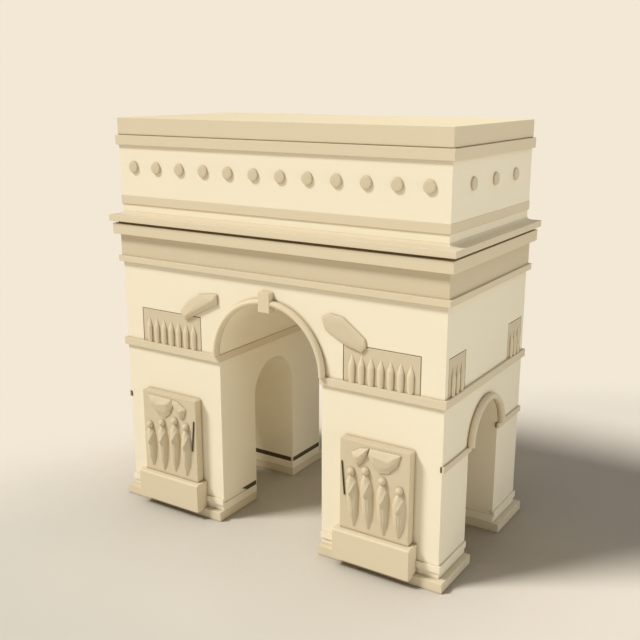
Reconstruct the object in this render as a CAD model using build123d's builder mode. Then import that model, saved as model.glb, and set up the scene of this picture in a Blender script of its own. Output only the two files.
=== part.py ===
# Triumphal arch, a 1:10 scale model of a monument about 50 m high.
# Z is up, the ground is z = 0, X runs along the long front and Y through the main passage.
# All sizes are millimetres of the model, so 100 here is one metre of the monument.
import math
import os

from build123d import *

os.makedirs("parts", exist_ok=True)

# plan of the walls
wall_width = 4482
wall_depth = 2221

# passages and their barrel vaults
main_passage = 1462
side_passage = 844
side_springing = 1446
over_side_arch = 317
over_main_arch = 269

# heights of the courses
plinth_block_height = 120
plinth_die_height = 78
plinth_band_height = 76
string_height = 93
architrave_height = 75
frieze_height = 276
bed_height = 132
joint_height = 32
slab_height = 76
weathering = 24
attic_base_height = 108
attic_band_height = 108
attic_wall_height = 614
attic_cornice_height = 118
parapet_height = 206

# how far each course stands out from the wall face, negative is set back
plinth_block_out = 80
plinth_die_out = 4
plinth_band_out = 22
string_out = 35
string_passage_out = 12
architrave_out = 45
frieze_out = 15
bed_out = 80
joint_out = 29
slab_out = 110
attic_base_out = -22
attic_band_out = -7
attic_wall_out = -12
attic_cornice_out = 18
parapet_out = -7

# cut-back lower edges of some courses
band_undercut = 7
slab_undercut = 6
parapet_undercut = 9

# round mouldings that stand on the wall over the arches, cut in narrow flats
roll_width = 94
roll_out = 88
roll_beyond = 33
roll_flats = 8

# keystones
key_width = 160
key_height = 235
key_drop = 86
key_out = 90
key_seat = 25

# side imposts and their dark backing course
impost_height = 73
impost_out = 28
impost_past_front = 12
impost_past_passage = 28
backing_height = 66
backing_depth = 22
backing_past = 8

# shallow channel low on the passage walls and the dark bands let into it
channel_bottom = 220
channel_height = 64
channel_depth = 12
corner_gap = 14
band_depth = 26
band_cover = 345
front_band_length = 299.5
band_slant = 115

# panels between string course and arch, each in a rebate that leaves a narrow groove
panel_width = 934
panel_height = 423
panel_thick = 21
groove = 10
side_panel_width = 410
side_panel_inset = 82

# pointed bars on the panels
bar_foot_width = 52
bar_width = 82
bar_out = 40
bar_head_room = 98
bar_point = 190
bars_front = 7
bars_side = 3
bar_margin = 107
side_bar_margin = 95

# long bodies lying aslant beside the main arch
spandrel_length = 640
spandrel_width = 240
spandrel_out = 50
spandrel_tilt = 24.5
spandrel_aside = 288
spandrel_up = 560

# relief groups in front of the piers
pedestal_lip = 52
pedestal_bottom = 100
pedestal_out = 200
pedestal_bevel = 17
relief_width = 876
relief_bottom = 470
relief_height = 1090
relief_out = 117

# robed figures, drapery and staff on each relief
figure_margin = 155
figure_gap = 18
figure_foot = 60
figure_out = 72
group_shift = 30
head_radius = 47
cloth_height = 225
cloth_out = 50
cloth_margin = 42
cloth_gap = 6
staff_width = 16
staff_length = 410
staff_foot = 415
staff_margin = 66
staff_tilt = 5

# round shields on the attic
shield_radius = 69
shield_out = 26
shield_rise = 46
shields_front = 12
shields_side = 3
shield_end = 250
side_shield_end = 520

half_width = wall_width / 2
half_depth = wall_depth / 2
half_main = main_passage / 2
half_side = side_passage / 2
pier_width = half_width - half_main
pier_depth = half_depth - half_side
pier_x = (half_width + half_main) / 2
pier_y = (half_depth + half_side) / 2
corners = [(-1, -1), (1, -1), (-1, 1), (1, 1)]

# levels, each from the one below
die_bottom = plinth_block_height
band_bottom = die_bottom + plinth_die_height
pier_bottom = band_bottom + plinth_band_height
main_springing = side_springing + half_side + over_side_arch
string_bottom = main_springing - string_height
main_crown = main_springing + half_main
wall_top = main_crown + over_main_arch
frieze_bottom = wall_top + architrave_height
bed_bottom = frieze_bottom + frieze_height
joint_bottom = bed_bottom + bed_height
slab_bottom = joint_bottom + joint_height
attic_bottom = slab_bottom + slab_height + weathering
attic_band_bottom = attic_bottom + attic_base_height
attic_wall_bottom = attic_band_bottom + attic_band_height
attic_cornice_bottom = attic_wall_bottom + attic_wall_height
parapet_bottom = attic_cornice_bottom + attic_cornice_height


def save(piece, name):
    piece.part.label = name
    export_step(piece.part, "parts/" + name + ".step")


def course(out, bottom, height, undercut=0):
    """One full course over the whole plan, its lower edge cut back by undercut."""
    with BuildPart() as block:
        with BuildSketch(Plane.XY.offset(bottom)):
            Rectangle(wall_width + 2 * out, wall_depth + 2 * out)
        extrude(amount=height)
        if undercut:
            chamfer(block.faces().sort_by(Axis.Z)[0].edges(), undercut)
    return block


def pier_rectangles(out):
    """Plans of the four piers, standing out by out at the facades and flush in the passages."""
    for sx, sy in corners:
        with Locations((sx * (pier_x + out / 2), sy * (pier_y + out / 2))):
            Rectangle(pier_width + out, pier_depth + out)


def pier_course(out, bottom, height):
    """The same course under or in each of the four piers."""
    with BuildPart() as block:
        with BuildSketch(Plane.XY.offset(bottom)):
            pier_rectangles(out)
        extrude(amount=height)
    return block


def channels():
    """Plans of the shallow channels along the two passage sides of each pier."""
    along = pier_depth - 2 * corner_gap
    across = pier_width - 2 * corner_gap
    for sx, sy in corners:
        with Locations((sx * (half_main + channel_depth / 2), sy * pier_y)):
            Rectangle(channel_depth, along)
        with Locations((sx * pier_x, sy * (half_side + channel_depth / 2))):
            Rectangle(across, channel_depth)


def dark_band(face, inward, start, low_end, top_end):
    """One inlay behind a wall face, from start to an end that may be cut aslant."""
    with BuildPart() as band:
        with BuildSketch(face):
            Polygon(
                (start, channel_bottom),
                (low_end, channel_bottom),
                (top_end, channel_bottom + channel_height),
                (start, channel_bottom + channel_height),
                align=None,
            )
        extrude(amount=inward)
    return band.part


# ---- plinths, one under each pier
plinth_blocks = pier_course(plinth_block_out, 0, plinth_block_height)
save(plinth_blocks, "plinth_blocks")
plinth_dies = pier_course(plinth_die_out, die_bottom, plinth_die_height)
save(plinth_dies, "plinth_dies")

# the inlays run the full depth of the back piers, but stop short of the other facades
side_face = Plane.XZ.offset(-half_side)
main_face = Plane.YZ.offset(half_main)
side_start = half_main + corner_gap + band_depth
main_start = half_side + corner_gap
side_end = half_width - band_cover
front_end = main_start + front_band_length
back_end = half_depth - corner_gap
across = dark_band(side_face, -band_depth, side_start, side_end, side_end - channel_height)
along_front = dark_band(main_face, band_depth, main_start, front_end - band_slant, front_end)
along_back = dark_band(main_face, band_depth, main_start, back_end, back_end)
bands = []
for sx, sy in corners:
    for run in (across, along_front if sy < 0 else along_back):
        piece = mirror(run, about=Plane.YZ) if sx < 0 else run
        bands.append(mirror(piece, about=Plane.XZ) if sy < 0 else piece)
with BuildPart() as passage_bands:
    add(bands)
save(passage_bands, "passage_bands")

with BuildPart() as plinth_bands:
    add(pier_course(plinth_band_out, band_bottom, plinth_band_height).part)
    with BuildSketch(Plane.XY.offset(channel_bottom)):
        channels()
    extrude(amount=channel_height, mode=Mode.SUBTRACT)
    add(passage_bands.part, mode=Mode.SUBTRACT)
save(plinth_bands, "plinth_bands")

backing_bottom = side_springing - (impost_height + backing_height) / 2
with BuildPart() as piers:
    add(pier_course(0, pier_bottom, side_springing - pier_bottom).part)
    with BuildSketch(Plane.XY.offset(channel_bottom)):
        channels()
    extrude(amount=channel_height, mode=Mode.SUBTRACT)
    add(passage_bands.part, mode=Mode.SUBTRACT)
    # seats of the backing courses behind the side imposts
    with BuildSketch(Plane.XY.offset(backing_bottom)):
        for sx, sy in corners:
            with Locations((sx * (half_width - backing_depth / 2), sy * pier_y)):
                Rectangle(backing_depth, pier_depth)
    extrude(amount=backing_height, mode=Mode.SUBTRACT)
save(piers, "piers")

# ---- side imposts on the two short facades
with BuildPart() as impost_backings:
    with BuildSketch(Plane.XY.offset(backing_bottom)):
        for sx, sy in corners:
            with Locations((sx * (half_width - backing_depth / 2), sy * pier_y)):
                Rectangle(backing_depth, pier_depth + 2 * backing_past)
    extrude(amount=backing_height)
save(impost_backings, "impost_backings")

with BuildPart() as side_imposts:
    with BuildSketch(Plane.XY.offset(side_springing - impost_height)):
        for sx, sy in corners:
            shift = (impost_past_front - impost_past_passage) / 2
            with Locations((sx * (half_width + impost_out / 2), sy * (pier_y + shift))):
                Rectangle(impost_out, pier_depth + impost_past_front + impost_past_passage)
    extrude(amount=impost_height)
save(side_imposts, "side_imposts")

# ---- the two masses over the side passages, each with its barrel vault
with BuildPart() as side_arches:
    for sx in (-1, 1):
        with BuildSketch(Plane.YZ.offset(sx * half_main)):
            with Locations((0, (side_springing + main_springing) / 2)):
                Rectangle(wall_depth, main_springing - side_springing)
            with Locations((0, side_springing)):
                Circle(half_side, mode=Mode.SUBTRACT)
        extrude(amount=sx * pier_width)
save(side_arches, "side_arches")

# the roll is nearly full round, its back is cut flat where it lies on the wall
roll_centre_out = roll_out - roll_width / 2
side_roll_radius = half_side + roll_beyond
main_roll_radius = half_main + roll_beyond
with BuildPart() as side_archivolts:
    with BuildSketch(Plane.XY.offset(side_springing)):
        for sx in (-1, 1):
            with Locations((sx * (half_width + roll_centre_out), side_roll_radius)):
                RegularPolygon(roll_width / 2, roll_flats)
        with Locations((0, side_roll_radius)):
            Rectangle(wall_width, roll_width, mode=Mode.SUBTRACT)
    revolve(axis=Axis((0, 0, side_springing), (1, 0, 0)), revolution_arc=180)
save(side_archivolts, "side_archivolts")

# ---- string courses at the springing of the main arch, round each side mass, low in the passage
with BuildPart() as string_courses:
    with BuildSketch(Plane.XY.offset(string_bottom)):
        Rectangle(wall_width + 2 * string_out, wall_depth + 2 * string_out)
        Rectangle(main_passage - 2 * string_passage_out, 2 * wall_depth, mode=Mode.SUBTRACT)
        for sx in (-1, 1):
            with Locations((sx * pier_x, 0)):
                Rectangle(pier_width, wall_depth, mode=Mode.SUBTRACT)
    extrude(amount=string_height)
save(string_courses, "string_courses")

# ---- upper mass with the main barrel vault
key_bottom = main_crown - key_drop
side_panel_y = half_depth - side_panel_inset - side_panel_width / 2


def panel_plans(grow):
    """Plans of the panels on all four facades, widened by grow at each end."""
    for sx, sy in corners:
        with Locations((sx * pier_x, sy * (half_depth - panel_thick / 2))):
            Rectangle(panel_width + 2 * grow, panel_thick)
        with Locations((sx * (half_width - panel_thick / 2), sy * side_panel_y)):
            Rectangle(panel_thick, side_panel_width + 2 * grow)


with BuildPart() as keystones:
    with BuildSketch(Plane.XY.offset(key_bottom)):
        for sy in (-1, 1):
            with Locations((0, sy * (half_depth + (key_out - key_seat) / 2))):
                Rectangle(key_width, key_out + key_seat)
    extrude(amount=key_height)
save(keystones, "keystones")

with BuildPart() as main_arch:
    with BuildSketch(Plane.XZ.offset(-half_depth)):
        with Locations((0, (main_springing + wall_top) / 2)):
            Rectangle(wall_width, wall_top - main_springing)
        with Locations((0, main_springing)):
            Circle(half_main, mode=Mode.SUBTRACT)
    extrude(amount=wall_depth)
    with BuildSketch(Plane.XY.offset(main_springing)):
        panel_plans(groove)
    extrude(amount=panel_height + groove, mode=Mode.SUBTRACT)
    add(keystones.part, mode=Mode.SUBTRACT)
save(main_arch, "main_arch")

with BuildPart() as main_archivolts:
    with BuildSketch(Plane.XY.offset(main_springing)):
        for sy in (-1, 1):
            with Locations((main_roll_radius, sy * (half_depth + roll_centre_out))):
                RegularPolygon(roll_width / 2, roll_flats)
        with Locations((main_roll_radius, 0)):
            Rectangle(roll_width, wall_depth, mode=Mode.SUBTRACT)
    revolve(axis=Axis((0, 0, main_springing), (0, -1, 0)), revolution_arc=180)
    add(keystones.part, mode=Mode.SUBTRACT)
save(main_archivolts, "main_archivolts")

with BuildPart() as frieze_panels:
    with BuildSketch(Plane.XY.offset(main_springing)):
        panel_plans(0)
    extrude(amount=panel_height)
save(frieze_panels, "frieze_panels")


# ---- faceted bodies that stand against a wall at y = 0 and face -y
def ridged(half, out, z, flank=0.5, aside=0):
    """A section with upright flanks and one ridge to the front, aside of its middle."""
    edge = flank * out
    return [(-half, 0, z), (-half, -edge, z), (aside * half, -out, z), (half, -edge, z), (half, 0, z)]


def leaf(outline, ridge, out, rim):
    """A body that rises from its outline by an upright rim and then slopes to a ridge."""
    points = [(x, 0, z) for x, z in outline] + [(x, -rim, z) for x, z in outline]
    with BuildPart() as body:
        ConvexPolyhedron(points + [(x, -out, z) for x, z in ridge])
    return body.part


bar_tip = panel_height - bar_head_room
with BuildPart() as pointed_bar:
    foot = ridged(bar_foot_width / 2, bar_out * bar_foot_width / bar_width, 0)
    shoulder = ridged(bar_width / 2, bar_out, bar_tip - bar_point)
    ConvexPolyhedron(foot + shoulder + [(0, 0, bar_tip)])

bar_pitch = (panel_width - 2 * bar_margin) / (bars_front - 1)
side_bar_pitch = (side_panel_width - 2 * side_bar_margin) / (bars_side - 1)
bars = []
for sx, sy in corners:
    for i in range(bars_front):
        x = sx * pier_x + (i - (bars_front - 1) / 2) * bar_pitch
        place = Location((x, sy * half_depth, main_springing), (0, 0, 0 if sy < 0 else 180))
        bars.append(place * pointed_bar.part)
    for i in range(bars_side):
        y = sy * side_panel_y + (i - (bars_side - 1) / 2) * side_bar_pitch
        place = Location((sx * half_width, y, main_springing), (0, 0, 90 * sx))
        bars.append(place * pointed_bar.part)
with BuildPart() as frieze_bars:
    add(bars)
save(frieze_bars, "frieze_bars")

# the bodies beside the arch lie on their long axis, one has a square end by the arch, one a point
long = spandrel_length / 2
wide = spandrel_width / 2
square_end = [(-1.07, 0.5), (-0.22, 1.2), (0.48, 0.9), (0.91, 0.42), (0.97, 0.1), (0.87, -0.7), (-0.91, -0.5)]
pointed_end = [(-0.97, -0.07), (-0.71, 0.8), (-0.23, 1.2), (0.85, 0.6), (0.99, 0), (0.92, -0.7), (0.26, -1),
               (-0.64, -0.9)]


def spandrel_body(outline, ridge):
    """A faceted body from shares of its half length and half width."""
    rim = spandrel_out / 2
    return leaf(
        [(a * long, b * wide) for a, b in outline],
        [(a * long, b * wide) for a, b in ridge],
        spandrel_out,
        rim,
    )


square_body = spandrel_body(square_end, [(-0.8, 0.1), (-0.2, 0.5), (0.7, -0.3)])
pointed_body = spandrel_body(pointed_end, [(-0.5, 0.1), (-0.1, 0.6), (0.75, -0.1), (0, -0.4)])

spandrel_x = half_main + spandrel_aside
bodies = []
for sy in (-1, 1):
    turn = Location((0, 0, 0), (0, 0, 0 if sy < 0 else 180))
    for side, body in ((-1, mirror(square_body, about=Plane.YZ)), (1, pointed_body)):
        place = (side * spandrel_x, -half_depth, main_springing + spandrel_up)
        bodies.append(turn * Location(place, (0, side * spandrel_tilt, 0)) * body)
with BuildPart() as spandrel_figures:
    add(bodies)
save(spandrel_figures, "spandrel_figures")

# ---- relief groups: pedestal, slab, robed figures, drapery, staff
with BuildPart() as relief_pedestals:
    with BuildSketch(Plane.XY.offset(pedestal_bottom)):
        for sx, sy in corners:
            with Locations((sx * pier_x, sy * (half_depth + pedestal_out / 2))):
                Rectangle(relief_width + 2 * pedestal_lip, pedestal_out)
    extrude(amount=relief_bottom - pedestal_bottom)
    top_edges = edges().filter_by(Axis.X).group_by(Axis.Z)[-1].group_by(Axis.Y)
    chamfer(top_edges[0] + top_edges[-1], pedestal_bevel)
    # notched over the plinth that runs behind it
    add(plinth_blocks.part, mode=Mode.SUBTRACT)
    add(plinth_dies.part, mode=Mode.SUBTRACT)
    add(plinth_bands.part, mode=Mode.SUBTRACT)
save(relief_pedestals, "relief_pedestals")

with BuildPart() as relief_panels:
    with BuildSketch(Plane.XY.offset(relief_bottom)):
        for sx, sy in corners:
            with Locations((sx * pier_x, sy * (half_depth + relief_out / 2))):
                Rectangle(relief_width, relief_out)
    extrude(amount=relief_height)
save(relief_panels, "relief_panels")

# four figures at an even pitch: share of the tallest height, lift of the hem and lean outwards
figures = [(0.94, 10, -2.5), (1, 25, -3), (0.91, 0, -1), (0.82, 20, 1)]
figure_pitch = (relief_width - 2 * figure_margin) / (len(figures) - 1)
girth = (figure_pitch - figure_gap) / 2
tallest = relief_height - cloth_margin - cloth_height - cloth_gap - figure_foot


def ball(radius):
    """A ball cut in flats: rings of points from pole to pole."""
    points = [(0, 0, -radius), (0, 0, radius)]
    for level in (-54, -18, 18, 54):
        ring = radius * math.cos(math.radians(level))
        height = radius * math.sin(math.radians(level))
        for i in range(10):
            turn = math.radians(36 * i)
            points.append((ring * math.cos(turn), ring * math.sin(turn), height))
    return ConvexPolyhedron(points)


def robed_figure(height):
    """A faceted robe, widest below the shoulders, under a ball head."""
    neck = height - 1.8 * head_radius
    hem = ridged(girth * 0.3, figure_out * 0.3, 0)
    knee = ridged(girth * 0.8, figure_out * 0.8, neck * 0.28, 0.25, -0.4)
    breast = ridged(girth, figure_out, neck * 0.7, 0.25, 0.1)
    shoulder = ridged(girth * 0.36, figure_out * 0.6, neck)
    with BuildPart() as figure:
        ConvexPolyhedron(hem + knee + breast + shoulder)
        with Locations((0, -head_radius / 4, height - head_radius)):
            ball(head_radius)
        split(bisect_by=Plane.XZ, keep=Keep.TOP)
    return figure.part


top = cloth_height
rim = cloth_out / 4
short_outline = [(-285, top - 95), (-165, top - 22), (-62, top - 5), (-85, top - 75), (-150, 30),
                 (-205, -22), (-250, 20)]
long_outline = [(-50, top - 3), (330, top), (285, 85), (185, -15), (65, -42), (-15, 20), (-75, top - 85)]
short_fold = leaf(short_outline, [(-190, 90), (-110, top - 55)], cloth_out, rim)
long_fold = leaf(long_outline, [(5, top - 75), (190, 115)], cloth_out, rim)
with BuildPart() as staff:
    with BuildSketch(Plane.XY):
        with Locations((0, -staff_width / 2)):
            Rectangle(staff_width, staff_width)
    extrude(amount=staff_length)

robes = []
cloths = []
staffs = []
for sx, sy in corners:
    # each group is the mirror image of the one across the passage, staff on the passage side
    turn = Location((0, 0, 0), (0, 0, 0 if sy < 0 else 180))
    side = -sx * sy
    slab = turn * Location((side * pier_x, -half_depth - relief_out, relief_bottom))
    for i, (share, lift, lean) in enumerate(figures):
        x = group_shift + (i - (len(figures) - 1) / 2) * figure_pitch
        place = Location((side * x, 0, figure_foot + lift), (0, side * lean, 0))
        robes.append(slab * place * robed_figure(share * (tallest - lift)))
    for fold in (short_fold, long_fold):
        piece = fold if side > 0 else mirror(fold, about=Plane.YZ)
        cloths.append(slab * Location((0, 0, relief_height - cloth_margin - cloth_height)) * piece)
    x = staff_margin - relief_width / 2
    place = Location((side * x, 0, staff_foot), (0, -side * staff_tilt, 0))
    staffs.append(slab * place * staff.part)
with BuildPart() as relief_figures:
    add(robes)
save(relief_figures, "relief_figures")
with BuildPart() as relief_drapery:
    add(cloths)
save(relief_drapery, "relief_drapery")
with BuildPart() as relief_staffs:
    add(staffs)
save(relief_staffs, "relief_staffs")

# ---- entablature and cornice, course by course
save(course(architrave_out, wall_top, architrave_height), "architrave")
save(course(frieze_out, frieze_bottom, frieze_height), "entablature_frieze")
save(course(bed_out, bed_bottom, bed_height), "cornice_bed")
save(course(joint_out, joint_bottom, joint_height), "cornice_joint")

with BuildPart() as cornice_slab:
    add(course(slab_out, slab_bottom, slab_height, slab_undercut).part)
    # the top falls gently outwards from the foot of the attic
    with BuildSketch(Plane.XY.offset(slab_bottom + slab_height)):
        Rectangle(wall_width + 2 * slab_out, wall_depth + 2 * slab_out)
    with BuildSketch(Plane.XY.offset(attic_bottom)):
        Rectangle(wall_width + 2 * attic_base_out, wall_depth + 2 * attic_base_out)
    loft(ruled=True)
save(cornice_slab, "cornice_slab")

# ---- attic
save(course(attic_base_out, attic_bottom, attic_base_height), "attic_base")
save(course(attic_band_out, attic_band_bottom, attic_band_height, band_undercut), "attic_band")
save(course(attic_wall_out, attic_wall_bottom, attic_wall_height), "attic_wall")
save(course(attic_cornice_out, attic_cornice_bottom, attic_cornice_height), "attic_cornice")
save(course(parapet_out, parapet_bottom, parapet_height, parapet_undercut), "parapet")

with BuildPart() as shield:
    with BuildSketch(Plane.XZ):
        Circle(shield_radius)
    extrude(amount=shield_out)

shield_level = attic_wall_bottom + attic_wall_height / 2 + shield_rise
shields = []
for s in (-1, 1):
    pitch = (wall_width - 2 * shield_end) / (shields_front - 1)
    for i in range(shields_front):
        place = ((i - (shields_front - 1) / 2) * pitch, s * (half_depth + attic_wall_out), shield_level)
        shields.append(Location(place, (0, 0, 0 if s < 0 else 180)) * shield.part)
    pitch = (wall_depth - 2 * side_shield_end) / (shields_side - 1)
    for i in range(shields_side):
        place = (s * (half_width + attic_wall_out), (i - (shields_side - 1) / 2) * pitch, shield_level)
        shields.append(Location(place, (0, 0, 90 * s)) * shield.part)
with BuildPart() as attic_shields:
    add(shields)
save(attic_shields, "attic_shields")
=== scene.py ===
import math

import bmesh
import bpy
import numpy as np
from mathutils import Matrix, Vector


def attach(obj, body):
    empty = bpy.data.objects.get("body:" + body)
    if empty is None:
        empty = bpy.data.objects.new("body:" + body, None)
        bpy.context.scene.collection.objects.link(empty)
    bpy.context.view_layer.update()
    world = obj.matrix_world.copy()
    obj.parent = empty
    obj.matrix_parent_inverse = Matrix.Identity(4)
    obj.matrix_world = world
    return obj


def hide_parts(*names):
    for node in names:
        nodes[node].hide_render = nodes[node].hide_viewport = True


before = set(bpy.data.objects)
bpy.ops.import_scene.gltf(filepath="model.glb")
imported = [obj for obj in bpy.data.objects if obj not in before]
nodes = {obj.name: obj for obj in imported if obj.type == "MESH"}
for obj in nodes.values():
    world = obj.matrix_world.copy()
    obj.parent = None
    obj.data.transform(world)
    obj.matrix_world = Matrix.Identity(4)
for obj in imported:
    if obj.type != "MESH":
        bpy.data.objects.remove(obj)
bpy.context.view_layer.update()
print("arch loaded,", len(nodes), "pieces")


def srgb(red, green, blue):
    # eye values 0-255 to linear light: the power curve above a short straight start
    values = np.array([red, green, blue]) / 255
    linear = np.where(values <= 0.04045, values / 12.92, ((values + 0.055) / 1.055) ** 2.4)
    return (*linear.tolist(), 1)


# helpers for node trees: where an input is another node's output it is linked, and anything else is the
# socket's own value
def feed(tree, socket, value):
    if isinstance(value, bpy.types.NodeSocket):
        tree.links.new(value, socket)
    else:
        socket.default_value = value


def addNode(tree, kind, inputs=None, **settings):
    node = tree.nodes.new("ShaderNode" + kind)
    for name, value in settings.items():
        setattr(node, name, value)
    for name, value in (inputs or {}).items():
        feed(tree, node.inputs[name], value)
    return node


def calculate(tree, operation, first, second, clamp=False):
    return addNode(tree, "Math", {0: first, 1: second}, operation=operation, use_clamp=clamp).outputs[0]


def weigh(tree, outputs, weights):
    # each output times its weight, all added up
    terms = [calculate(tree, "MULTIPLY", output, weight) for output, weight in zip(outputs, weights)]
    total = terms[0]
    for term in terms[1:]:
        total = calculate(tree, "ADD", total, term)
    return total


def mapOnto(tree, value, reach, onto=(0.0, 1.0), **settings):
    inputs = {"Value": value, "From Min": reach[0], "From Max": reach[1],
              "To Min": onto[0], "To Max": onto[1]}
    return addNode(tree, "MapRange", inputs, **settings).outputs[0]


def blendColors(tree, mode, factor, first, second):
    # a Mix node's two colours are its inputs 6 and 7, and the mixed colour is its output 2
    inputs = {0: factor, 6: first, 7: second}
    return addNode(tree, "Mix", inputs, data_type="RGBA", blend_type=mode).outputs[2]


def newGroup(name, inputs, outputs):
    group = bpy.data.node_groups.new(name, "ShaderNodeTree")
    for direction, sockets in (("INPUT", inputs), ("OUTPUT", outputs)):
        for label, kind in sockets.items():
            group.interface.new_socket(label, in_out=direction, socket_type="NodeSocket" + kind)
    return group, group.nodes.new("NodeGroupInput").outputs, group.nodes.new("NodeGroupOutput").inputs


def useGroup(tree, group, inputs):
    return addNode(tree, "Group", inputs, node_tree=group).outputs


# stone: slow clouds of tone, faint bedding and fine grain with pits
fabric = {
    "clouds": {"Scale": 0.9, "Detail": 4.0, "Roughness": 0.55},
    "bedding": {"Scale": 1.6, "Detail": 5.0, "Roughness": 0.6},
    "beddingStretch": (1.2, 1.2, 9.0),
    "grain": {"Scale": 95.0, "Detail": 3.0, "Roughness": 0.7},
    "pits": {"Scale": 130.0, "Randomness": 1.0},
    "pitReach": (0.05, 0.3),
    "pitShade": 0.35,
    "pitColor": srgb(120, 104, 80),
    "toneShares": (0.6, 0.4),  # clouds, bedding
    "blueSwing": 0.5,  # how much further blue swings than red and green
    "leastRough": 0.76,
    "grainRough": 0.2,
    "heightShares": (0.6, 0.4, -0.5),  # grain, bedding, pits
}


def makeStoneGroup():
    group, given, out = newGroup(
        "stoneBody",
        {"Place": "Vector", "Stone": "Color", "Clouds": "Float", "Grain": "Float"},
        {"Color": "Color", "Roughness": "Float", "Height": "Float"},
    )
    place = given["Place"]
    stretched = addNode(group, "Mapping", {"Vector": place, "Scale": fabric["beddingStretch"]}).outputs[0]
    clouds = addNode(group, "TexNoise", {"Vector": place, **fabric["clouds"]}).outputs[0]
    bedding = addNode(group, "TexNoise", {"Vector": stretched, **fabric["bedding"]}).outputs[0]
    grain = addNode(group, "TexNoise", {"Vector": place, **fabric["grain"]}).outputs[0]
    cells = addNode(group, "TexVoronoi", {"Vector": place, **fabric["pits"]}).outputs[0]
    pits = mapOnto(group, cells, fabric["pitReach"], (1.0, 0.0))

    # tone level = 1 + (clouds and bedding - 0.5) Clouds + (grain - 0.5) Grain, and pits are darker
    slow = weigh(group, (clouds, bedding), fabric["toneShares"])
    swing = calculate(group, "MULTIPLY", calculate(group, "SUBTRACT", slow, 0.5), given["Clouds"])
    speck = calculate(group, "MULTIPLY", calculate(group, "SUBTRACT", grain, 0.5), given["Grain"])
    level = calculate(group, "ADD", calculate(group, "ADD", swing, speck), 1.0)
    blue = calculate(group, "ADD", level, calculate(group, "MULTIPLY", swing, fabric["blueSwing"]))
    tone = addNode(group, "CombineColor", {0: level, 1: level, 2: blue}).outputs[0]
    toned = blendColors(group, "MULTIPLY", 1.0, given["Stone"], tone)
    pitted = calculate(group, "MULTIPLY", pits, given["Grain"])
    shade = calculate(group, "MULTIPLY", pitted, fabric["pitShade"])
    feed(group, out["Color"], blendColors(group, "MULTIPLY", shade, toned, fabric["pitColor"]))

    rough = calculate(group, "MULTIPLY", grain, fabric["grainRough"])
    feed(group, out["Roughness"], calculate(group, "ADD", fabric["leastRough"], rough))
    feed(group, out["Height"], weigh(group, (grain, bedding, pits), fabric["heightShares"]))
    return group


# wear and painted light: paler arrises, partly wear and partly a painted highlight; dust and painted shade
# on the tops of ledges, with a paler painted light on the roof's top; and painted shade that darkens inner
# corners
wearAndLightMarks = {
    # paler arrises: edge wear, and a painted highlight along the edges
    "arrisRadius": 0.007,
    "arrisSamples": 4,
    "arrisTurn": (0.985, 0.86),
    "arrisColor": srgb(255, 246, 224),
    "breaks": {"Scale": 22.0, "Detail": 3.0},
    "breakGain": 1.5,
    "ledgeSlope": (0.6, 0.98),
    # painted shade in inner corners: how far the ambient occlusion looks, its samples, the shelter mapped
    # to none and to full shade, and the shade's colour
    "cornerShadeReach": 0.05,
    "cornerShadeSamples": 8,
    "cornerShadeShelter": (0.85, 0.4),
    "cornerShadeColor": srgb(178, 168, 146),
}


def makeWearAndLightGroup():
    group, given, out = newGroup(
        "stoneWearAndPaintedLight",
        {"Place": "Vector", "Color": "Color", "Arris": "Float", "DustAndTopShading": "Float", "Tone": "Color",
         "CornerShade": "Float"},
        {"Color": "Color"},
    )
    # an arris is where the normal of a rounded copy turns away from the face's own
    normal = addNode(group, "NewGeometry").outputs["Normal"]
    rounded = addNode(group, "Bevel", {"Radius": wearAndLightMarks["arrisRadius"]},
                      samples=wearAndLightMarks["arrisSamples"]).outputs[0]
    turn = addNode(group, "VectorMath", {0: rounded, 1: normal}, operation="DOT_PRODUCT").outputs["Value"]
    edge = mapOnto(group, turn, wearAndLightMarks["arrisTurn"])
    breaks = addNode(group, "TexNoise", {"Vector": given["Place"], **wearAndLightMarks["breaks"]}).outputs[0]
    gained = calculate(group, "MULTIPLY", breaks, wearAndLightMarks["breakGain"])
    wearAndPaintedLight = calculate(group, "MULTIPLY", edge, gained, clamp=True)
    arris = calculate(group, "MULTIPLY", wearAndPaintedLight, given["Arris"])
    # paler arrises: wear, and a painted highlight along the edges
    pale = blendColors(group, "SCREEN", arris, given["Color"], wearAndLightMarks["arrisColor"])

    # upward faces take the ledge tone: dust, and painted shade on lit tops; on the roof the tone is paler,
    # a painted light
    upward = addNode(group, "SeparateXYZ", {0: normal}).outputs[2]
    ledge = mapOnto(group, upward, wearAndLightMarks["ledgeSlope"])
    dustAndTopShading = calculate(group, "MULTIPLY", ledge, given["DustAndTopShading"])
    topShaded = blendColors(group, "MIX", dustAndTopShading, pale, given["Tone"])

    # painted shade: the colour is darkened in inner corners, where the ambient occlusion finds shelter
    shelter = addNode(group, "AmbientOcclusion", {"Distance": wearAndLightMarks["cornerShadeReach"]},
                      samples=wearAndLightMarks["cornerShadeSamples"]).outputs["AO"]
    shadeShare = mapOnto(group, shelter, wearAndLightMarks["cornerShadeShelter"])
    cornerShade = calculate(group, "MULTIPLY", shadeShare, given["CornerShade"])
    feed(group, out["Color"], blendColors(group, "MULTIPLY", cornerShade, topShaded, wearAndLightMarks["cornerShadeColor"]))
    return group


stoneGroup = makeStoneGroup()
wearAndLightGroup = makeWearAndLightGroup()

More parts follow.
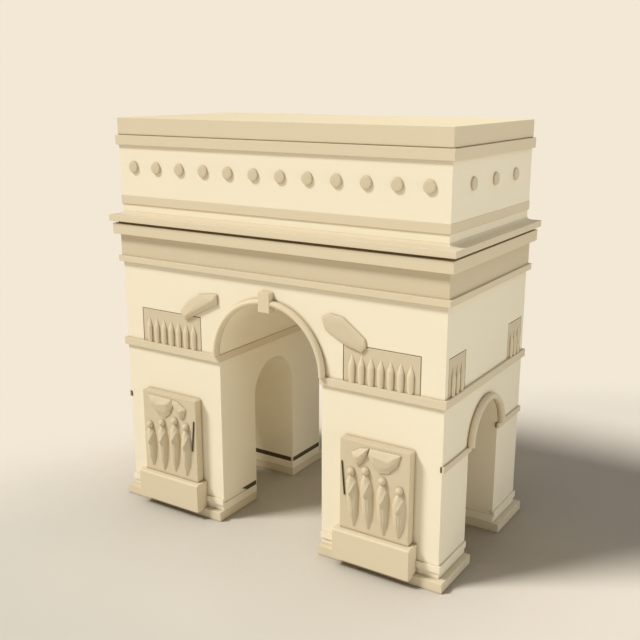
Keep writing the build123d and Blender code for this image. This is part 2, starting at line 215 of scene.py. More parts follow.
# one look for each stone; gloss is its specular level, and relief the depth of its bump in metres
# each look's corner darkening is painted shade, and its ledge tone on upward faces is dust with painted
# shade on lit tops
paleLook = {"clouds": 0.07, "grain": 0.06, "arris": 0.14, "dustAndTopShading": 0.6, "cornerShade": 0.5, "bump": 0.2,
            "relief": 0.0012, "gloss": 0.25}
darkLook = {**paleLook, "clouds": 0.2, "grain": 0.15, "arris": 0.1, "dustAndTopShading": 0.1, "cornerShade": 0.1}
stoneLooks = {
    "wallStone": {**paleLook, "color": srgb(246, 235, 208), "ledge": srgb(225, 213, 184), "grain": 0.05,
                  "arris": 0.12},
    "trimStone": {**paleLook, "color": srgb(225, 210, 179), "ledge": srgb(206, 193, 167)},
    # painted light: the roof's top takes a paler tone than its sides
    "roofStone": {**paleLook, "color": srgb(225, 210, 179), "ledge": srgb(234, 219, 184), "dustAndTopShading": 0.95},
    "carvedStone": {**paleLook, "color": srgb(216, 201, 170), "ledge": srgb(190, 176, 151), "arris": 0.12},
    # painted shade: the passage bands and impost backings are dark to stand in for the shade of deep gaps;
    # the staffs are dark rods of their own colour
    "darkStoneAndGapShade": {**darkLook, "color": srgb(84, 72, 52), "ledge": srgb(120, 106, 84)},
    # painted shade: the recessed cornice joint is dark to stand in for the shade in its gap
    "paintedJointShade": {**darkLook, "color": srgb(150, 126, 92), "ledge": srgb(140, 120, 90)},
}
stoneOf = {
    "wallStone": ["plinth_dies", "plinth_bands", "piers", "side_arches", "main_arch", "attic_base",
                  "attic_wall"],
    "trimStone": ["side_imposts", "side_archivolts", "string_courses", "main_archivolts", "keystones",
                  "architrave", "cornice_bed", "cornice_slab", "attic_band", "attic_cornice",
                  "relief_pedestals", "plinth_blocks", "frieze_bars"],
    "roofStone": ["parapet"],
    "carvedStone": ["frieze_panels", "attic_shields", "spandrel_figures", "relief_panels", "relief_figures",
                    "relief_drapery", "entablature_frieze"],
    # the passage bands and impost backings take dark stone as painted shade of deep gaps
    "darkStoneAndGapShade": ["passage_bands", "impost_backings", "relief_staffs"],
    # the cornice joint's dark colour is painted shade in the gap
    "paintedJointShade": ["cornice_joint"],
}


def makeStone(name, look):
    material = bpy.data.materials.new(name)
    material.use_nodes = True
    tree = material.node_tree
    shader = tree.nodes["Principled BSDF"].inputs
    place = addNode(tree, "TexCoord").outputs["Object"]
    body = useGroup(tree, stoneGroup, {"Place": place, "Stone": look["color"], "Clouds": look["clouds"],
                                       "Grain": look["grain"]})
    wearAndPaintedLight = useGroup(tree, wearAndLightGroup, {"Place": place, "Color": body["Color"], "Arris": look["arris"],
                                      "DustAndTopShading": look["dustAndTopShading"], "Tone": look["ledge"], "CornerShade": look["cornerShade"]})
    bump = addNode(tree, "Bump", {"Height": body["Height"], "Strength": look["bump"],
                                  "Distance": look["relief"]})
    feed(tree, shader["Base Color"], wearAndPaintedLight["Color"])
    feed(tree, shader["Roughness"], body["Roughness"])
    feed(tree, shader["Normal"], bump.outputs[0])
    feed(tree, shader["Specular IOR Level"], look["gloss"])
    return material


stones = {name: makeStone(name, look) for name, look in stoneLooks.items()}
for stoneName, members in stoneOf.items():
    for member in members:
        nodes[member].data.materials.clear()
        nodes[member].data.materials.append(stones[stoneName])
print("stones laid")

# new pieces: a shape is an array of points, and arrays of faces, one for each number of corners
# half sizes of the walls and passages and the levels where their arches spring, in metres
walls = {"halfWidth": 2.241, "halfDepth": 1.1105, "mainHalf": 0.731, "sideHalf": 0.422,
         "mainSpringing": 2.185, "sideSpringing": 1.446}
# each facade's turn from the front, and how far out its wall stands
facades = {"front": (0, walls["halfDepth"]), "right": (90, walls["halfWidth"]),
           "back": (180, walls["halfDepth"]), "left": (270, walls["halfWidth"])}
cleaning = {"merge": 1e-5, "sliver": 1e-6}  # distances


def joinShapes(shapes):
    # the corners of each shape's faces count on from the points of the shapes before it
    starts = np.cumsum([0] + [len(points) for points, blocks in shapes])
    faces = [face for start, (points, blocks) in zip(starts, shapes)
             for block in blocks for face in (block + start).tolist()]
    return np.vstack([points for points, blocks in shapes]), faces


def stretchSkin(rings):
    # rings are closed outlines in a row: quads join each outline to the next, a flat cap closes each end
    count, around = rings.shape[:2]
    order = np.arange(count * around).reshape(count, around)
    near, far = order[:-1], order[1:]
    quads = np.stack([near, np.roll(near, -1, axis=1), np.roll(far, -1, axis=1), far], axis=-1)
    caps = np.stack([order[0][::-1], order[-1]])
    return rings.reshape(-1, 3), [quads.reshape(-1, 4), caps]


def turnAbout(points, degrees):
    # a turn about the upright axis: x' = x cos t - y sin t, y' = x sin t + y cos t
    turn = math.radians(degrees)
    spin = np.array([[math.cos(turn), -math.sin(turn), 0], [math.sin(turn), math.cos(turn), 0], [0, 0, 1]])
    return points @ spin.T


def leanBy(points, degrees):
    # a lean in the plane of the wall: x' = x cos t + z sin t, z' = z cos t - x sin t
    turn = math.radians(degrees)
    spin = np.array([[math.cos(turn), 0, math.sin(turn)], [0, 1, 0], [-math.sin(turn), 0, math.cos(turn)]])
    return points @ spin.T


def onFacade(shape, side):
    # a shape is drawn for a wall at y = 0 seen from -y, set out to its wall and turned to face outwards
    degrees, distance = facades[side]
    return turnAbout(shape[0] - [0, distance, 0], degrees), shape[1]


def rowOn(side, shape, count, pitch, at):
    # copies at even steps along a facade, about the point (x, y, z) as drawn for a wall at y = 0
    steps = (np.arange(count) - (count - 1) / 2) * pitch
    return [onFacade((shape[0] + at + [step, 0, 0], shape[1]), side) for step in steps]


def mirrored(shape):
    return shape[0] * [-1, 1, 1], shape[1]


def fromRidge(across, ridge):
    # 0 at the ridge, 1 at either edge of a section that runs from -1 to 1
    return np.where(across < ridge, (ridge - across) / (1 + ridge), (across - ridge) / (1 - ridge))


def addObject(name, data):
    added = bpy.data.objects.new(name, data)
    bpy.context.scene.collection.objects.link(added)
    return added


def finishPiece(name, mesh, replaced, sharpFrom):
    cleaned = bmesh.new()
    cleaned.from_mesh(mesh)
    bmesh.ops.remove_doubles(cleaned, verts=cleaned.verts, dist=cleaning["merge"])
    bmesh.ops.dissolve_degenerate(cleaned, edges=cleaned.edges, dist=cleaning["sliver"])
    bmesh.ops.recalc_face_normals(cleaned, faces=cleaned.faces)
    cleaned.to_mesh(mesh)
    cleaned.free()
    mesh.shade_smooth()
    mesh.set_sharp_from_angle(angle=math.radians(sharpFrom))
    stoneName = next(stone for stone, members in stoneOf.items() if replaced in members)
    mesh.materials.clear()
    mesh.materials.append(stones[stoneName])
    piece = addObject(name, mesh)
    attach(piece, "root")
    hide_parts(replaced)
    return piece


def makePiece(name, shapes, replaced, sharpFrom=35):
    points, faces = joinShapes(shapes)
    mesh = bpy.data.meshes.new(name)
    mesh.from_pydata(points.tolist(), [], faces)
    return finishPiece(name, mesh, replaced, sharpFrom)


# round mouldings over the arches
roll = {"halfOut": 0.046, "halfWide": 0.037, "centreOut": 0.039, "beyond": 0.027, "around": 30, "steps": 80,
        "keyHalf": 0.08}


def rollOver(opening, springing, endOf):
    # an oval section cut flat at the wall, r = opening + beyond + halfWide sin u and
    # out = centreOut - halfOut cos u, is carried along an arc, x = r cos t and z = springing + r sin t,
    # where t runs from 0 to the end that r has
    wallTurn = math.acos(roll["centreOut"] / roll["halfOut"])
    turns = np.linspace(wallTurn, 2 * math.pi - wallTurn, roll["around"])
    radii = opening + roll["beyond"] + np.sin(turns) * roll["halfWide"]
    out = roll["centreOut"] - np.cos(turns) * roll["halfOut"]
    along = endOf(radii) * np.linspace(0, 1, roll["steps"])[:, None]
    rings = np.stack([radii * np.cos(along), -out + 0 * along, springing + radii * np.sin(along)], axis=-1)
    return stretchSkin(rings)


def toKeystone(radii):
    # the angle at which each line of the moulding meets the upright side of the keystone
    return np.pi / 2 - np.arcsin(roll["keyHalf"] / radii)


def toFarFoot(radii):
    return np.pi + 0 * radii


mainHalfRoll = rollOver(walls["mainHalf"], walls["mainSpringing"], toKeystone)
sideRoll = rollOver(walls["sideHalf"], walls["sideSpringing"], toFarFoot)
makePiece("archivolt_main", [onFacade(half, side) for side in ("front", "back")
                             for half in (mainHalfRoll, mirrored(mainHalfRoll))], "main_archivolts")
makePiece("archivolt_side", [onFacade(sideRoll, side) for side in ("left", "right")], "side_archivolts")
print("archivolts turned")

# round shields on the attic; a row is how many, and their pitch
shield = {"radii": (0, 0.030, 0.052, 0.062, 0.0665, 0.0685, 0.069, 0.069),
          "outs": (0.026, 0.0259, 0.0255, 0.0245, 0.0225, 0.0195, 0.016, 0),
          "around": 40, "wallIn": 0.012, "level": 4.369,
          "rows": {"front": (12, 0.362), "back": (12, 0.362), "right": (3, 0.5905), "left": (3, 0.5905)}}


def turnShield():
    # a turned outline: x = r cos t, z = r sin t, y = -out, as r and out run along the outline
    radii = np.array(shield["radii"])[:, None]
    outs = np.array(shield["outs"])[:, None]
    turns = np.linspace(0, 2 * np.pi, shield["around"], endpoint=False)[None, :]
    return stretchSkin(np.stack([radii * np.cos(turns), -outs + 0 * turns, radii * np.sin(turns)], axis=-1))


disc = turnShield()
discAt = [0, shield["wallIn"], shield["level"]]
makePiece("shields_round", [piece for side, (count, pitch) in shield["rows"].items()
                            for piece in rowOn(side, disc, count, pitch, discAt)], "attic_shields")
print("shields hung")

# pointed bars on the panels above the string courses; a row is how many, their pitch, and how far its
# middle is from the facade's own
bar = {"levels": (0, 0.11, 0.21, 0.33), "halves": (0.033, 0.039, 0.038, 0),
       "outs": (0.027, 0.034, 0.033, 0), "rowsUp": 27, "across": 13, "aside": -0.12, "flank": 0.45,
       "crownPower": 2.2, "level": 2.185,
       "rows": {"front": (7, 0.12, 1.486), "back": (7, 0.12, 1.486),
                "right": (3, 0.11, 0.8235), "left": (3, 0.11, 0.8235)}}


def carveBar():
    # half width and depth run straight from the foot to the waist, the shoulder and the tip; the section is
    # a low round crown between upright flanks, out (flank + (1 - flank)(1 - |s|^2.2)), its ridge aside
    height = np.linspace(0, bar["levels"][-1], bar["rowsUp"])
    half = np.interp(height, bar["levels"], bar["halves"])
    out = np.interp(height, bar["levels"], bar["outs"])
    across = np.linspace(-1, 1, bar["across"])
    rise = 1 - fromRidge(across, bar["aside"]) ** bar["crownPower"]
    crown = np.concatenate([[0], bar["flank"] + (1 - bar["flank"]) * rise, [0]])
    across = np.concatenate([[-1], across, [1]])
    x, y = half[:, None] * across, -out[:, None] * crown
    return stretchSkin(np.stack([x, y, height[:, None] + 0 * across], axis=-1))


carvedBar = carveBar()
bars = []
for side, (count, pitch, middle) in bar["rows"].items():
    for hand in (-1, 1):
        bars += rowOn(side, carvedBar, count, pitch, [hand * middle, 0, bar["level"]])
makePiece("bars_pointed", bars, "frieze_bars")
print("bars carved")

# relief groups: robed figures with folds, sleeves and plain round heads
relief = {"pierX": 1.486, "out": 0.117, "bottom": 0.470}
robe = {
    "tallest": 0.757, "girth": 0.0853, "out": 0.063, "foot": 0.060, "shift": 0.030, "pitch": 0.18867,
    "rows": 44, "across": 33,
    "marks": (0, 0.05, 0.28, 0.5, 0.7, 0.86, 0.95, 1.0),  # shares of the way from the hem to the neck
    "halves": (0.24, 0.34, 0.80, 0.93, 1.0, 0.80, 0.52, 0.26),  # half width there, as a share of the girth
    "outs": (0.20, 0.32, 0.80, 0.92, 1.0, 0.86, 0.68, 0.44),  # depth there, as a share of out
    "ridgeAside": -0.1, "ridgeBend": 0.6, "ridgeWaves": 1.4,
    "crownShare": 0.86, "crownPower": 1.7, "flankPower": 8,
    "pleats": 5, "pleatDepth": 0.10, "pleatTwist": 1.5, "pleatHem": (0, 0.12), "pleatTop": (0.75, 0.35),
    "beltLevel": 0.60, "beltHalf": 0.018, "beltDepth": 0.06,
    "sharpFrom": 50,
}
head = {"radius": 0.047, "narrower": 0.93, "sunk": 0.25, "neck": 1.8, "rings": 19, "around": 28}
sleeve = {
    "out": 0.010,
    "shoulder": (0.62, 0.86),  # shares of the girth and of the neck's height
    "hand": (0.05, 0.62),
    "handSway": 0.03, "reach": 0.24, "reachGrows": 0.10, "rimFade": 0.25,
}
# share of the tallest height, lift of the hem, lean along the wall, bend of the ridge, phase of the folds
figures = [(0.94, 0.010, -2.5, 0.10, 0.3), (1.0, 0.025, -3.0, -0.15, 1.9), (0.91, 0.0, -1.0, 0.05, 3.2),
           (0.82, 0.020, 1.0, -0.10, 4.6)]
places = [(hand, facade) for facade in ("front", "back") for hand in (-1, 1)]


def smoothStep(low, high, values):
    share = np.clip((values - low) / (high - low), 0, 1)
    return share * share * (3 - 2 * share)


def carveRobe(neck, bend, phase):
    # up the robe the half width and depth run straight between the marks; across it the section is a soft
    # ridge, y = -out (0.86 (1 - |s|^1.7) + 0.14 (1 - |s|^8)), cut by folds that fade at hem and shoulders
    level = np.linspace(0, 1, robe["rows"])[:, None]
    half = np.interp(level, robe["marks"], robe["halves"]) * robe["girth"]
    out = np.interp(level, robe["marks"], robe["outs"]) * robe["out"]
    wave = np.sin(level * np.pi * robe["ridgeWaves"] + phase)
    across = np.linspace(-1, 1, robe["across"])[None, :]
    aside = fromRidge(across, bend * wave * robe["ridgeBend"] + robe["ridgeAside"])
    crown = (1 - aside ** robe["crownPower"]) * robe["crownShare"]
    crown = crown + (1 - robe["crownShare"]) * (1 - aside ** robe["flankPower"])
    fold = 0.5 + 0.5 * np.cos(across * np.pi * robe["pleats"] + phase + level * robe["pleatTwist"])
    depth = robe["pleatDepth"] * smoothStep(*robe["pleatTop"], level) * smoothStep(*robe["pleatHem"], level)
    belt = 1 - robe["beltDepth"] * np.exp(-((level - robe["beltLevel"]) / robe["beltHalf"]) ** 2)
    y = -out * crown * (1 - depth * fold) * belt
    return half * across + 0 * y, y, level * neck + 0 * y


def addSleeves(x, y, z, neck, phase):
    # a sleeve swells the robe along a line from shoulder to hand: push = out (1 - (distance / reach)^2)^2
    for hand in (-1, 1):
        fromX, fromZ = hand * robe["girth"] * sleeve["shoulder"][0], neck * sleeve["shoulder"][1]
        toX = -hand * robe["girth"] * sleeve["hand"][0] * (1 + math.sin(phase))
        toZ = neck * (sleeve["hand"][1] + sleeve["handSway"] * hand * math.cos(phase))
        alongX, alongZ = toX - fromX, toZ - fromZ
        share = np.clip(((x - fromX) * alongX + (z - fromZ) * alongZ) / (alongX ** 2 + alongZ ** 2), 0, 1)
        distance = np.hypot(x - fromX - share * alongX, z - fromZ - share * alongZ)
        reach = robe["girth"] * (sleeve["reach"] + sleeve["reachGrows"] * share)
        swell = np.clip(1 - (distance / reach) ** 2, 0, 1) ** 2
        y = y - sleeve["out"] * swell * smoothStep(0, sleeve["rimFade"], -y / robe["out"])
    return y


def carveHead(height):
    # a ball sunk a little into the slab, its rings from chin to crown: x = 0.93 r cos a cos b,
    # y = r cos a sin b - r / 4, kept out of the slab, z = r sin a
    radius = head["radius"]
    levels = np.linspace(-0.5, 0.5, head["rings"])[:, None] * np.pi
    turns = np.linspace(0, 2 * np.pi, head["around"], endpoint=False)[None, :]
    x = radius * np.cos(levels) * np.cos(turns) * head["narrower"]
    y = radius * np.cos(levels) * np.sin(turns) - radius * head["sunk"]
    z = radius * np.sin(levels) + 0 * turns + height - radius
    return stretchSkin(np.stack([x, np.minimum(y, 0), z], axis=-1))


def carveFigure(height, bend, phase):
    neck = height - head["neck"] * head["radius"]
    x, y, z = carveRobe(neck, bend, phase)
    y = np.minimum(addSleeves(x, y, z, neck, phase), 0)
    y[:, 0] = y[:, -1] = 0
    return [stretchSkin(np.stack([x, y, z], axis=-1)), carveHead(height)]


def placeOnRelief(shape, x, z, lean, hand, facade):
    # hand is 1 where the group stands as drawn and -1 where it is the mirror image
    standing = leanBy(shape[0], lean) + [x, -relief["out"], relief["bottom"] + z]
    return onFacade((standing * [hand, 1, 1] + [hand * relief["pierX"], 0, 0], shape[1]), facade)


robes = []
for hand, facade in places:
    for i, (share, lift, lean, bend, phase) in enumerate(figures):
        x = robe["shift"] + (i - (len(figures) - 1) / 2) * robe["pitch"]
        for shape in carveFigure(share * (robe["tallest"] - lift), bend, phase):
            robes.append(placeOnRelief(shape, x, robe["foot"] + lift, lean, hand, facade))
makePiece("figures_robed", robes, "relief_figures", robe["sharpFrom"])
print("figures carved")

# cloth above the figures: two leaves with a raised ridge and folds that follow it
cloth = {"rows": 34, "across": 27, "out": 0.050, "rim": 0.0125, "leafTop": 0.225, "slabTop": 1.090,
         "margin": 0.042, "folds": 3, "foldDepth": 0.003, "foldDrift": 2.5, "crownPower": 1.5,
         "rimPower": 6, "tip": 0.001, "sharpFrom": 40}
shortLeaf = {"upper": [(-0.285, 0.130), (-0.165, 0.203), (-0.062, 0.220)],
             "lower": [(-0.285, 0.130), (-0.250, 0.020), (-0.205, -0.022), (-0.150, 0.030), (-0.085, 0.150),
                       (-0.062, 0.220)],
             "ridge": [(-0.285, 0.130), (-0.190, 0.090), (-0.110, 0.170), (-0.062, 0.220)],
             "crest": (0.25, 0.8)}
longLeaf = {"upper": [(-0.075, 0.140), (-0.050, 0.222), (0.330, 0.225)],
            "lower": [(-0.075, 0.140), (-0.015, 0.020), (0.065, -0.042), (0.185, -0.015), (0.285, 0.085),
                      (0.330, 0.225)],
            "ridge": [(-0.075, 0.140), (0.005, 0.150), (0.190, 0.115), (0.330, 0.225)],
            "crest": (0.2, 0.75)}


def followLine(corners, share):
    # a point at each share of the line's length
    corners = np.array(corners)
    steps = np.concatenate([[0], np.cumsum(np.hypot(*np.diff(corners, axis=0).T))])
    return np.stack([np.interp(share * steps[-1], steps, corners[:, i]) for i in (0, 1)], axis=-1)


def carveLeaf(leaf):
    # along the leaf run its upper edge, ridge and lower edge; across it the surface goes from one to the
    # next, and rises from the rim to the ridge by (out - rim)(1 - |s|^1.5), less folds that run along it
    along = np.linspace(cloth["tip"], 1 - cloth["tip"], cloth["rows"])
    upper, ridge, lower = (followLine(leaf[line], along) for line in ("upper", "ridge", "lower"))
    across = np.linspace(-1, 1, cloth["across"])
    toUpper, toLower = np.clip(-across, 0, 1)[None, :, None], np.clip(across, 0, 1)[None, :, None]
    flat = ridge[:, None] * (1 - toUpper - toLower) + upper[:, None] * toUpper + lower[:, None] * toLower
    start, end = leaf["crest"]
    crest = np.interp(along, [0, start, end, 1], [0, 1, 1, 0])[:, None]
    aside = np.abs(across)[None, :]
    swell = cloth["rim"] + (cloth["out"] - cloth["rim"]) * crest * (1 - aside ** cloth["crownPower"])
    turns = across[None, :] * np.pi * cloth["folds"] + cloth["foldDrift"] * along[:, None]
    fold = 0.5 - 0.5 * np.cos(turns)
    out = swell - cloth["foldDepth"] * fold * crest * (1 - aside ** cloth["rimPower"])
    front = np.stack([flat[..., 0], -out, flat[..., 1]], axis=-1)
    back = front[:, [0, -1]] * [1, 0, 1]
    return stretchSkin(np.concatenate([back[:, :1], front, back[:, 1:]], axis=1))


leaves = [carveLeaf(leaf) for leaf in (shortLeaf, longLeaf)]
clothLevel = cloth["slabTop"] - cloth["margin"] - cloth["leafTop"]
makePiece("drapery_folded", [placeOnRelief(leaf, 0, clothLevel, 0, hand, facade)
                             for hand, facade in places for leaf in leaves], "relief_drapery",
          cloth["sharpFrom"])
print("cloth hung")

# thin dark staffs
staff = {"half": 0.008, "length": 0.410, "x": -0.372, "foot": 0.415, "tilt": -5, "around": 16,
         "endSteps": 5, "sharpFrom": 50}


def turnStaff():
    # a round rod, x = r cos t, y = r sin t - half, with ends that close in a quarter round
    quarter = np.linspace(0, np.pi / 2, staff["endSteps"])[1:]
    radii = staff["half"] * np.concatenate([np.sin(quarter), np.sin(quarter)[::-1]])
    rise = staff["half"] * (1 - np.cos(quarter))
    heights = np.concatenate([rise, staff["length"] - rise[::-1]])
    turns = np.linspace(0, 2 * np.pi, staff["around"], endpoint=False)
    x = radii[:, None] * np.cos(turns)
    y = radii[:, None] * np.sin(turns) - staff["half"]
    return stretchSkin(np.stack([x, y, heights[:, None] + 0 * x], axis=-1))


rod = turnStaff()
makePiece("staffs_round", [placeOnRelief(rod, staff["x"], staff["foot"], staff["tilt"], hand, facade)
                           for hand, facade in places], "relief_staffs", staff["sharpFrom"])
print("staffs set")

# cornice slab: one outline carried round the building, with a hollow curve up to the foot of the attic
slab = {"bottom": 3.700, "top": 3.776, "out": 0.110, "undercut": 0.006, "arris": 0.005, "arrisSteps": 4,
        "wallOut": -0.022, "hollowFrom": 0.100, "hollowRise": 0.050, "hollowSteps": 12, "inner": -0.2,
        "sharpFrom": 30}


def carrySlab():
    # the hollow: out = hollowFrom - width sin t, z = top + hollowRise (1 - cos t), t from 0 to 90 degrees;
    # the outline goes round the plan by its four corners, (+-(half width + out), +-(half depth + out))
    turn = np.linspace(0, np.pi / 2, slab["hollowSteps"])
    hollow = np.stack([slab["hollowFrom"] - (slab["hollowFrom"] - slab["wallOut"]) * np.sin(turn),
                       slab["top"] + slab["hollowRise"] * (1 - np.cos(turn))], axis=-1)
    edge = np.linspace(0, np.pi / 2, slab["arrisSteps"])
    arris = np.stack([slab["out"] - slab["arris"] * (1 - np.cos(edge)),
                      slab["top"] - slab["arris"] * (1 - np.sin(edge))], axis=-1)
    foot = [[slab["inner"], slab["bottom"]], [slab["out"] - slab["undercut"], slab["bottom"]],
            [slab["out"], slab["bottom"] + slab["undercut"]]]
    outline = np.vstack([foot, arris, hollow, [[slab["inner"], slab["top"] + slab["hollowRise"]]]])
    signs = np.array([[-1, -1], [1, -1], [1, 1], [-1, 1]])[:, None]
    plan = signs * (np.array([walls["halfWidth"], walls["halfDepth"]]) + outline[None, :, :1])
    rings = np.concatenate([plan, np.broadcast_to(outline[None, :, 1:], (4, len(outline), 1))], axis=-1)
    order = np.arange(4 * len(outline)).reshape(4, -1)
    after = np.roll(order, -1, axis=0)
    quads = np.stack([order, np.roll(order, -1, axis=1), np.roll(after, -1, axis=1), after], axis=-1)
    return rings.reshape(-1, 3), [quads.reshape(-1, 4)]


makePiece("cornice_slab_hollow", [carrySlab()], "cornice_slab", slab["sharpFrom"])

# masonry courses with worn, slightly rounded arrises
softening = {"flatWithin": 0.5, "edgeFrom": 25, "sharpFrom": 28,  # angles in degrees
             "uprightFrom": 0.95, "roundness": 0.5, "faceWeight": 100}
softEdges = {
    # width of the rounding, how many flats it has, only upright edges where courses meet flush
    "plinth_blocks": (0.008, 2, False), "plinth_dies": (0.004, 2, True), "plinth_bands": (0.006, 2, True),
    "piers": (0.005, 2, True), "side_arches": (0.005, 2, True), "main_arch": (0.005, 2, True),
    "side_imposts": (0.006, 2, False), "impost_backings": (0.004, 1, False),
    "string_courses": (0.006, 2, False), "keystones": (0.008, 3, False), "frieze_panels": (0.003, 1, False),
    "spandrel_figures": (0.009, 3, False), "relief_pedestals": (0.007, 3, False),
    "relief_panels": (0.010, 3, False), "architrave": (0.006, 2, False),
    "entablature_frieze": (0.005, 2, True), "cornice_bed": (0.006, 2, False),
    "cornice_joint": (0.004, 1, True), "attic_base": (0.005, 2, True), "attic_band": (0.005, 2, False),
    "attic_wall": (0.005, 2, True), "attic_cornice": (0.006, 2, False), "parapet": (0.007, 2, False),
}


def softenNode(name, width, flats, uprightOnly):
    mesh = nodes[name].data.copy()
    mesh.name = name + "_soft"
    shape = bmesh.new()
    shape.from_mesh(mesh)
    bmesh.ops.remove_doubles(shape, verts=shape.verts, dist=cleaning["merge"])
    bmesh.ops.dissolve_limit(shape, angle_limit=math.radians(softening["flatWithin"]), verts=shape.verts,
                             edges=shape.edges)
    edges = [edge for edge in shape.edges if len(edge.link_faces) == 2 and edge.is_convex
             and edge.calc_face_angle() > math.radians(softening["edgeFrom"])]
    if uprightOnly:
        edges = [edge for edge in edges if abs(edge.verts[0].co.z - edge.verts[1].co.z)
                 > softening["uprightFrom"] * edge.calc_length()]
    bmesh.ops.bevel(shape, geom=edges, offset=width, segments=flats, profile=softening["roundness"],
                    affect="EDGES", clamp_overlap=True)
    shape.to_mesh(mesh)
    shape.free()
    if "custom_normal" in mesh.attributes:
        mesh.attributes.remove(mesh.attributes["custom_normal"])
    piece = finishPiece(name + "_soft", mesh, name, softening["sharpFrom"])
    evened = piece.modifiers.new("evenNormals", "WEIGHTED_NORMAL")
    evened.keep_sharp = True
    evened.weight = softening["faceWeight"]


for name, (width, flats, uprightOnly) in softEdges.items():
    softenNode(name, width, flats, uprightOnly)
print("arrises rounded")

# studio: pale floor that fades into an even backdrop, one soft key light, wide fills and a pale sky
studio = {
    # the floor is painted darker near the arch, a painted shade, and paler away from it to meet the
    # backdrop
    "nearFloor": srgb(227, 221, 208),
    "farFloor": srgb(245, 236, 221),
    "floorMiddle": (-0.8, -3.3, 0.0),
    "farReach": (1.5, 4.8),
    "mottle": {"Scale": 0.35, "Detail": 3.0},
    "mottleTones": (0.975, 1.025),
    # painted shade: the floor darkens near the arch's foot, where ambient occlusion finds it
    "contactShade": 0.66,
    "contactShadeReach": 2.0,
    "contactShadeSamples": 8,
    "floorRough": 0.9,
    "floorGloss": 0.1,
    "floorRadii": (3, 6, 12, 24, 48, 96, 300),
    "floorSpokes": 48,
    "backdrop": srgb(242, 232, 213),
    "ovalMiddle": (2.0, 1.0, 0.0),
    "ovalTurn": 45.0,
    "ovalSize": (9.0, 4.5, 1.0),
    "fadeReach": (0.75, 1.1),
    "keyTowards": (1.047, 0.982, -1.66),
    "keyStrength": 2.86,
    "keyAngle": 16.0,
    "keyColor": (1.0, 0.985, 0.955),
    # place, size, power and colour of each fill, all aimed at one point
    "fills": {"front": ((-2.0, -13.0, 2.5), 8.0, 151.0, (1.0, 1.0, 1.0)),
              "right": ((12.0, -3.0, 3.0), 6.0, 262.0, (0.92, 0.975, 1.02)),
              "top": ((5.0, 2.0, 12.0), 8.0, 240.0, (0.95, 0.98, 1.0)),
              "back": ((3.0, 14.0, 2.0), 6.0, 260.0, (1.0, 1.0, 1.0))},
    "fillAim": (0.0, 0.0, 2.2),
    "skyColor": (1.0, 1.0, 1.0, 1),
    "skyStrength": 0.182,
}
view = {"at": (5.8351, -9.0838, 5.3527), "tilt": 75.094, "turn": 32.737, "lens": 50, "sensorWidth": 36}


def seenOutright(tree):
    # 1 for rays from the camera, and for those that glossy and clear things send on
    paths = addNode(tree, "LightPath").outputs
    sentOn = calculate(tree, "MAXIMUM", paths["Is Glossy Ray"], paths["Is Transmission Ray"])
    return calculate(tree, "MAXIMUM", paths["Is Camera Ray"], sentOn)


def reachFrom(tree, place, oval):
    # how far a place is from the middle of a round or an oval, in its own half widths
    inOval = addNode(tree, "Mapping", {"Vector": place, **oval}, vector_type="TEXTURE").outputs[0]
    return addNode(tree, "VectorMath", {0: inOval}, operation="LENGTH").outputs["Value"]


def makeFloorMaterial():
    material = bpy.data.materials.new("studioFloor")
    material.use_nodes = True
    tree = material.node_tree
    shader = tree.nodes["Principled BSDF"]
    place = addNode(tree, "TexCoord").outputs["Object"]
    cloud = addNode(tree, "TexNoise", {"Vector": place, **studio["mottle"]}).outputs[0]
    tone = mapOnto(tree, cloud, (0.0, 1.0), studio["mottleTones"])
    grey = addNode(tree, "CombineColor", {0: tone, 1: tone, 2: tone}).outputs[0]
    # painted shade near the middle, paler away from it
    middle = reachFrom(tree, place, {"Location": studio["floorMiddle"]})
    far = mapOnto(tree, middle, studio["farReach"], interpolation_type="SMOOTHSTEP")
    laid = blendColors(tree, "MIX", far, studio["nearFloor"], studio["farFloor"])
    mottled = blendColors(tree, "MULTIPLY", 1.0, laid, grey)
    # painted shade: darker where the ambient occlusion finds the arch close by
    shelter = addNode(tree, "AmbientOcclusion", {"Distance": studio["contactShadeReach"]},
                      samples=studio["contactShadeSamples"]).outputs["AO"]
    shadeShare = calculate(tree, "MULTIPLY", calculate(tree, "SUBTRACT", 1.0, shelter), studio["contactShade"])
    feed(tree, shader.inputs["Base Color"], blendColors(tree, "MIX", shadeShare, mottled, (0, 0, 0, 1)))
    feed(tree, shader.inputs["Roughness"], studio["floorRough"])
    feed(tree, shader.inputs["Specular IOR Level"], studio["floorGloss"])

    # outside an oval round the arch the floor shows the backdrop's own colour
    away = reachFrom(tree, place, {"Location": studio["ovalMiddle"], "Scale": studio["ovalSize"],
                                   "Rotation": (0, 0, math.radians(studio["ovalTurn"]))})
    fade = mapOnto(tree, away, studio["fadeReach"], interpolation_type="SMOOTHSTEP")
    share = calculate(tree, "MULTIPLY", fade, seenOutright(tree))
    glow = addNode(tree, "Emission", {"Color": studio["backdrop"], "Strength": 1.0}).outputs[0]
    both = addNode(tree, "MixShader", {0: share, 1: shader.outputs[0], 2: glow}).outputs[0]
    feed(tree, tree.nodes["Material Output"].inputs["Surface"], both)
    return material


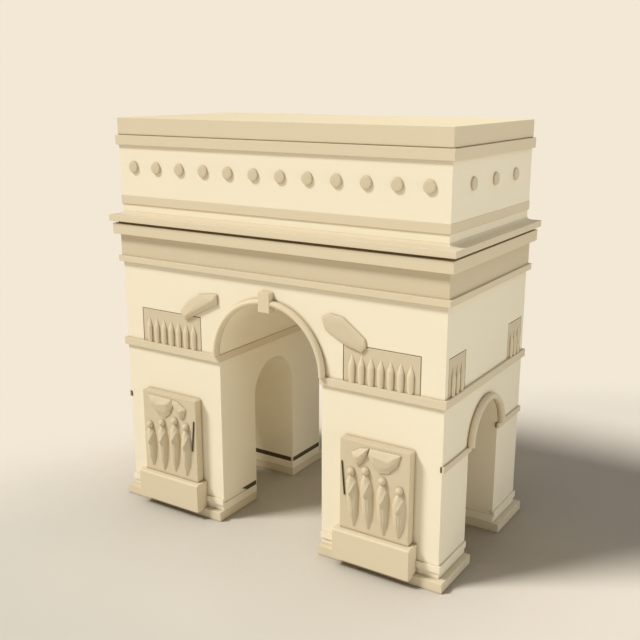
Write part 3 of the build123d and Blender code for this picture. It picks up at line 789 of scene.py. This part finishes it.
def layFloor():
    # a flat disc of rings and spokes: point = radius * (cos turn, sin turn)
    radii = np.array(studio["floorRadii"])[:, None]
    turns = np.linspace(0, 2 * np.pi, studio["floorSpokes"], endpoint=False)[None, :]
    rings = np.stack([radii * np.cos(turns), radii * np.sin(turns), 0 * radii * turns], axis=-1)
    spokes = np.arange(turns.size)
    after = np.roll(spokes, -1)
    middle = np.stack([0 * spokes, spokes + 1, after + 1], axis=-1)
    inner = 1 + turns.size * np.arange(radii.size - 1)[:, None]
    outer = inner + turns.size
    quads = np.stack([inner + spokes, outer + spokes, outer + after, inner + after], axis=-1)
    mesh = bpy.data.meshes.new("studio_floor")
    points = [(0, 0, 0)] + rings.reshape(-1, 3).tolist()
    mesh.from_pydata(points, [], middle.tolist() + quads.reshape(-1, 4).tolist())
    mesh.materials.append(makeFloorMaterial())
    floor = addObject("studio_floor", mesh)
    return floor


def aimAlong(direction):
    return Vector(direction).to_track_quat("-Z", "Y").to_euler()


def lightArch(floor):
    key = bpy.data.lights.new("key", "SUN")
    key.energy = studio["keyStrength"]
    key.angle = math.radians(studio["keyAngle"])
    key.color = studio["keyColor"]
    addObject("key", key).rotation_euler = aimAlong(studio["keyTowards"])

    # the fills light the arch alone, so that its ground shadow stays deep
    spared = bpy.data.collections.new("sparedByFills")
    spared.objects.link(floor)
    spared.collection_objects[0].light_linking.link_state = "EXCLUDE"
    for name, (at, size, power, color) in studio["fills"].items():
        fill = bpy.data.lights.new(name, "AREA")
        fill.energy = power
        fill.size = size
        fill.color = color
        lamp = addObject(name, fill)
        lamp.location = at
        lamp.rotation_euler = aimAlong(Vector(studio["fillAim"]) - Vector(at))
        lamp.light_linking.receiver_collection = spared


def makeSky():
    # the sky lights the arch at its own low strength, and shows the backdrop where it is seen
    world = bpy.data.worlds.new("sky")
    world.use_nodes = True
    tree = world.node_tree
    sky = tree.nodes["Background"]
    feed(tree, sky.inputs["Color"], studio["skyColor"])
    feed(tree, sky.inputs["Strength"], studio["skyStrength"])
    shown = addNode(tree, "Background", {"Color": studio["backdrop"], "Strength": 1.0}).outputs[0]
    both = addNode(tree, "MixShader", {0: seenOutright(tree), 1: sky.outputs[0], 2: shown}).outputs[0]
    feed(tree, tree.nodes["World Output"].inputs["Surface"], both)
    bpy.context.scene.world = world


def setCamera():
    optics = bpy.data.cameras.new("camera")
    optics.lens = view["lens"]
    optics.sensor_width = view["sensorWidth"]
    camera = addObject("camera", optics)
    camera.location = view["at"]
    camera.rotation_euler = (math.radians(view["tilt"]), 0, math.radians(view["turn"]))
    bpy.context.scene.camera = camera
    bpy.context.scene.view_settings.view_transform = "Standard"


lightArch(layFloor())
makeSky()
setCamera()
print("studio ready")
